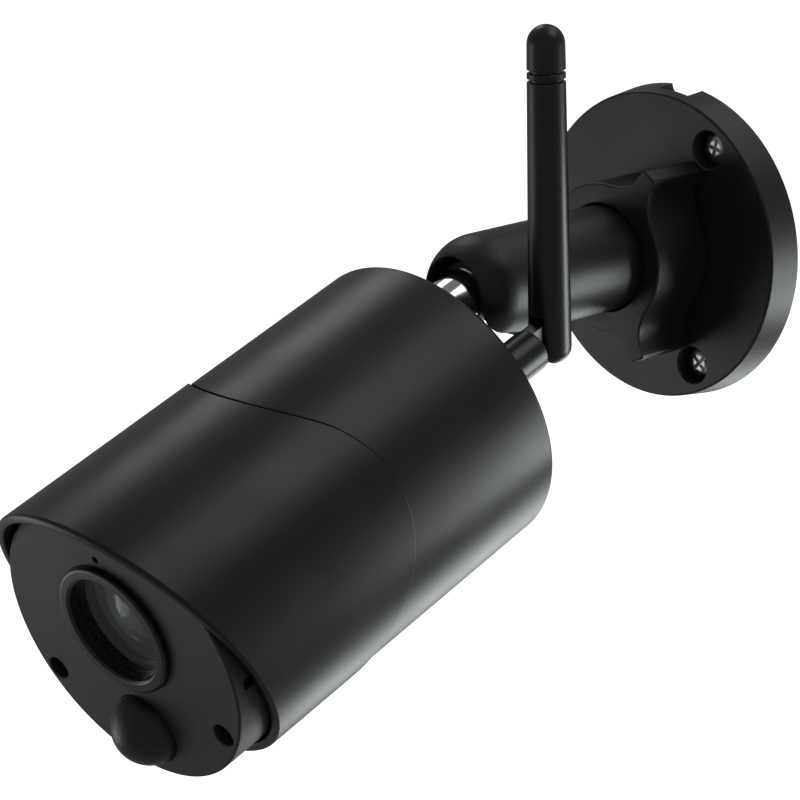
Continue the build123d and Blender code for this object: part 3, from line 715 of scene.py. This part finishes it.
def front_cover():
    """Front cover with a broken edge, deep screw wells, microphone hole, lamp slot and latch windows."""
    back = -3.2
    outline = rounded([
        (0, 0), (BARREL_R, 0, 0.45), (BARREL_R, -15.0), (27.5, -15.0), (27.5, back), (25.3, back),
        (25.3, -6.8), (23.8, -6.8), (23.8, back), (0, back),
    ])
    cover = turned(outline, FINE)
    tools = [
        rod_mesh(13.5, -10, 1, 0, LENS_Y, count=ROUND), rod_mesh(7.5, -10, 1, 0, DOME_Y, count=96),
    ]
    for side in (-1, 1):
        x, y = side * FACE_SCREW_AT[0], FACE_SCREW_AT[1]
        well = rounded([(0, -2.7), (2.35, -2.7), (2.35, -0.25), (2.6, 0.0), (2.6, 1), (0, 1)])
        tools.append(moved(turned(well, 48), Matrix.Translation((x, y, 0))))
        tools.append(rod_mesh(1.3, -4, 0, x, y))
        rim = side * BARREL_R
        tools.append(box_mesh(rim - 1.4, rim + 1.4, -1.9, 0.3, -6.1, -2.4))
        tools.append(rod_mesh(3.2, -8, -3.3, x, y))
    tools.append(rod_mesh(0.75, -10, 1, 0, 19.1, count=24))
    tools.append(box_mesh(-1.3, 1.3, 22.3, 23.0, -10, 1))
    cover = combined(cover, tools)
    return finish_piece(cover, "front_cover", HEAD, FACE_GREY, "head", ["face_plate"], smooth=30)


ON_LENS_AXIS = Matrix.Translation((0, LENS_Y, 0))


def lens_ring():
    """Raised ring round the window, softly crowned outside and stepped inside."""
    outline = rounded([
        (10.9, -2.2), (10.9, -0.95), (10.5, -0.9, 0.1), (10.8, 1.0, 0.3), (11.3, 1.4, 0.35),
        (13.4, 1.4, 0.6), (13.4, -3.25), (13.9, -3.25), (13.9, -4.2), (9.7, -4.2), (9.7, -2.2),
    ])
    ring = moved(turned(outline, ROUND), ON_LENS_AXIS)
    return finish_piece(ring, "lens_ring", HEAD, BEZEL, "head", ["lens_bezel"], smooth=40)


def lens_window():
    """Cover glass with ground edges."""
    disc = rod_mesh(10.8, -2.15, -1.0, 0, LENS_Y, count=128, edge=0.12)
    return finish_piece(disc, "window", HEAD, WINDOW, "head", ["lens_window"], smooth=30)


def lens_barrel():
    """Lens barrel whose wide mouth steps down to the front glass in fine ridges."""
    outline = [
        (7.0, -17.4), (7.0, -9.0), (9.6, -8.0), (9.6, -2.4), (9.45, -2.4), (9.4, -2.65), (9.25, -2.7),
        (9.2, -2.95), (9.05, -3.0), (9.0, -3.3), (9.0, -7.2), (6.0, -7.2), (6.0, -11), (3.6, -11),
        (3.6, -16.0), (3.2, -16.0), (3.2, -17.4),
    ]
    mesh = moved(turned(outline, ROUND), ON_LENS_AXIS)
    return finish_piece(mesh, "barrel", HEAD, LENS_BLACK, "head", ["lens_barrel"], smooth=25)


def front_element():
    """Front glass, a shallow dome; its inner rings, painted highlight and painted glints are in its
    material.
    """
    curve, edge_r, back = 14.0, 8.95, -7.15
    dome = [(0, -2.6)]
    for k in range(1, 90):
        radius = 0.1 * k
        dome.append((radius, -16.6 + sqrt(curve ** 2 - radius ** 2)))
    outline = dome + [(edge_r, -5.84), (edge_r, back), (0, back)]
    mesh = moved(turned(outline, ROUND), ON_LENS_AXIS)
    return finish_piece(
        mesh, "front_glass", HEAD, LENS_GLASS, "head", ["front_element"], smooth=30)


def motion_dome():
    """Motion sensor's dome: short wall, soft shoulder and round top."""
    top, outer_r, inner_r = 6.6, 7.4, 6.6
    centre = top - outer_r
    crown = [(outer_r * sin(radians(a)), centre + outer_r * cos(radians(a))) for a in range(0, 89, 4)]
    inner = [(inner_r * sin(radians(a)), centre + inner_r * cos(radians(a))) for a in range(84, -1, -4)]
    outline = crown + [(outer_r, -0.9), (outer_r, -3.2), (inner_r, -3.2), (inner_r, -0.9)] + inner
    mesh = moved(turned(outline, 128), Matrix.Translation((0, DOME_Y, 0)))
    return finish_piece(mesh, "sensor_dome", HEAD, DOME, "head", ["pir_dome"], smooth=50)


# ---------------------------------------------------------------- antenna

ROD_LENGTH = 60.9           # pin to the tip of the cap
ROD_END = 50.0              # where the rod stops and the cap starts
FOOT_PIN_Z = -105.2         # the pin behind the front face, in the FOOT frame
FOOT_R = 4.35
TONGUE_HALF, TONGUE_R = 1.6, 3.9


def rod_radius(z):
    """Radius of the tapered rod at a height above its pin."""
    return 4.25 + (3.66 - 4.25) * z / ROD_LENGTH


def antenna_foot():
    """Swivelling foot with a hinge tongue."""
    foot = turned(rounded([
        (0, -99.4), (FOOT_R, -99.4, 0.6), (FOOT_R, -88.55, 0.3), (3.2, -88.55), (3.2, -95.3), (0, -95.3),
    ]), 96)
    tongue = box_mesh(-TONGUE_HALF, TONGUE_HALF, -TONGUE_R, TONGUE_R, FOOT_PIN_Z, -98.6)
    across = Matrix.Translation((0, 0, FOOT_PIN_Z)) @ Matrix.Rotation(radians(90), 4, "Y")
    eye = moved(rod_mesh(TONGUE_R, -TONGUE_HALF, TONGUE_HALF, count=64), across)
    hole = moved(rod_mesh(1.15, -5, 5, count=32), across)
    foot = combined(foot, [tongue, eye], "UNION")
    foot = combined(foot, [hole])
    return finish_piece(
        foot, "antenna_foot", FOOT, ANTENNA, "antenna_foot", ["antenna_base"], smooth=30)


def antenna_rod():
    """Tapered rod with a rounded lower end, slotted for the hinge."""
    rod = turned(rounded([
        (0, -5.5), (4.3, -5.5, 3.4), (rod_radius(ROD_END), ROD_END, 0.15), (2.2, ROD_END), (2.2, 8), (0, 8),
    ], 8), 128)
    across = Matrix.Rotation(radians(90), 4, "Y")
    tools = [box_mesh(-1.8, 1.8, -9, 4.0, -6.5, 4.4), moved(rod_mesh(1.1, -3, 3, count=32), across)]
    rod = combined(rod, tools)
    return finish_piece(
        rod, "antenna_stem", ROD, ANTENNA, "antenna", ["antenna_rod"], smooth=30)


def antenna_cap():
    """Domed cap with two thin grooves."""
    r0, r1 = rod_radius(ROD_END), rod_radius(57)
    groove_r, edge_r = r0 - 0.6, r0 - 0.1
    dome = [(r1 * cos(radians(a)), ROD_LENGTH - r1 + r1 * sin(radians(a))) for a in range(0, 91, 5)]
    outline = [
        (0, 45), (2.15, 45), (2.15, ROD_END), (groove_r, ROD_END), (groove_r, 50.6), (edge_r, 50.62),
        (r0, 50.72), (r0, 51.58), (edge_r, 51.68), (groove_r, 51.7), (groove_r, 52.3),
        (edge_r, 52.32), (r0, 52.42),
    ] + dome
    cap = turned(outline, 128)
    return finish_piece(
        cap, "antenna_tip", ROD, ANTENNA, "antenna", ["antenna_cap"], smooth=30)


for build in (
    wall_plate, wall_screws, lock_nut, ball_arm, ball_stud, sleeve, rear_shell, well_liner, front_cover,
    lens_ring, lens_window, lens_barrel, front_element, motion_dome, antenna_foot, antenna_rod, antenna_cap,
):
    build()


# ---------------------------------------------------------------- stage, lights, camera

STAGE_GLOW = 1.05
FLOOR_SIZE, FLOOR_Z = 12.0, -0.75
SURROUND_R = 11.0
LIGHT_REACH = 0.9
PALE_GREEN = (0.93, 1.0, 0.96)


def unseen(thing):
    """Keep a stage piece out of everything but the camera's own view."""
    thing.visible_glossy = False
    thing.visible_diffuse = False
    thing.visible_transmission = False
    thing.visible_shadow = False


def stage_piece(name, mesh, height):
    """White self-lit stage surface that the camera sees and the part doesn't."""
    data = bpy.data.meshes.new(name)
    mesh.to_mesh(data)
    mesh.free()
    thing = bpy.data.objects.new(name, data)
    thing.location = (0, 0, height)
    bpy.context.scene.collection.objects.link(thing)
    material, _, bsdf = shader(name)
    bsdf.inputs["Base Color"].default_value = (0.9, 0.9, 0.9, 1)
    bsdf.inputs["Roughness"].default_value = 0.9
    bsdf.inputs["Emission Color"].default_value = (1, 1, 1, 1)
    bsdf.inputs["Emission Strength"].default_value = STAGE_GLOW
    data.materials.append(material)
    unseen(thing)


def floor():
    """Plain pale floor well below the part, with a white surround."""
    ground = bmesh.new()
    bmesh.ops.create_grid(ground, x_segments=1, y_segments=1, size=FLOOR_SIZE)
    stage_piece("floor", ground, FLOOR_Z)
    surround = bmesh.new()
    bmesh.ops.create_uvsphere(surround, u_segments=48, v_segments=24, radius=SURROUND_R)
    stage_piece("surround", surround, 0.0)


def softbox(name, direction, distance, size, power, tint=(1, 1, 1), aim=(0.0, -0.08, -0.01)):
    """Rectangular soft light at a direction from the part, turned towards it."""
    light = bpy.data.lights.new(name, "AREA")
    light.shape = "RECTANGLE"
    light.size, light.size_y = size
    light.energy = power
    light.color = tint
    lamp = bpy.data.objects.new(name, light)
    target = Vector(aim)
    lamp.location = target + Vector(direction).normalized() * distance
    lamp.rotation_euler = (target - lamp.location).to_track_quat("-Z", "Y").to_euler()
    lamp.visible_camera = False
    bpy.context.scene.collection.objects.link(lamp)


def lights():
    """Soft lights round the part: left, top, behind, at the plate's rim, low behind and in front."""
    softbox("left strip", (-0.66, 0.32, 0.68), LIGHT_REACH, (0.28, 0.34), 0.62)
    softbox("top light", (0.38, 0.33, 0.87), LIGHT_REACH, (0.5, 0.5), 1.1)
    softbox("top backlight", (-0.07, 0.64, 0.77), LIGHT_REACH, (0.4, 0.4), 0.35)
    softbox("rim light", (0.70, 0.64, -0.36), 0.2, (0.1, 0.12), 0.26, PALE_GREEN, (0.0, 0.0, 0.0))
    softbox("low backlight", (-0.16, 0.77, -0.62), LIGHT_REACH, (0.4, 0.36), 1.25, PALE_GREEN)
    softbox("front fill", (-0.78, -0.56, -0.33), LIGHT_REACH, (0.6, 0.6), 1.0)
    lens_centre = (0.006, -0.156, -0.044)
    softbox("window reflection", (-0.73, -0.34, -0.36), LIGHT_REACH, (0.3, 0.3), 0.3, aim=lens_centre)
    world = bpy.data.worlds.new("studio")
    world.use_nodes = True
    world.node_tree.nodes["Background"].inputs["Color"].default_value = (1, 1, 1, 1)
    world.node_tree.nodes["Background"].inputs["Strength"].default_value = 0.2
    bpy.context.scene.world = world


def camera():
    """Camera in front of the part, to its right and a little above, with a long lens."""
    azimuth, elevation, roll = radians(47.608), radians(18.742), radians(-0.583)
    back = Vector((sin(azimuth) * cos(elevation), -cos(azimuth) * cos(elevation), sin(elevation)))
    side = Vector((cos(azimuth), sin(azimuth), 0))
    top = back.cross(side)
    right = side * cos(roll) + top * sin(roll)
    up = top * cos(roll) - side * sin(roll)
    lens = bpy.data.cameras.new("camera")
    lens.sensor_width = 36.0
    lens.lens = 125.2
    lens.shift_x, lens.shift_y = 0.0629, 0.1260
    lens.clip_start = 0.01
    place = Matrix.Translation((0.38153, -0.44310, 0.13877))
    eye = bpy.data.objects.new("camera", lens)
    eye.matrix_world = place @ Matrix((right, up, back)).transposed().to_4x4()
    bpy.context.scene.collection.objects.link(eye)
    bpy.context.scene.camera = eye
    bpy.context.scene.view_settings.view_transform = "Standard"


floor()
lights()
camera()
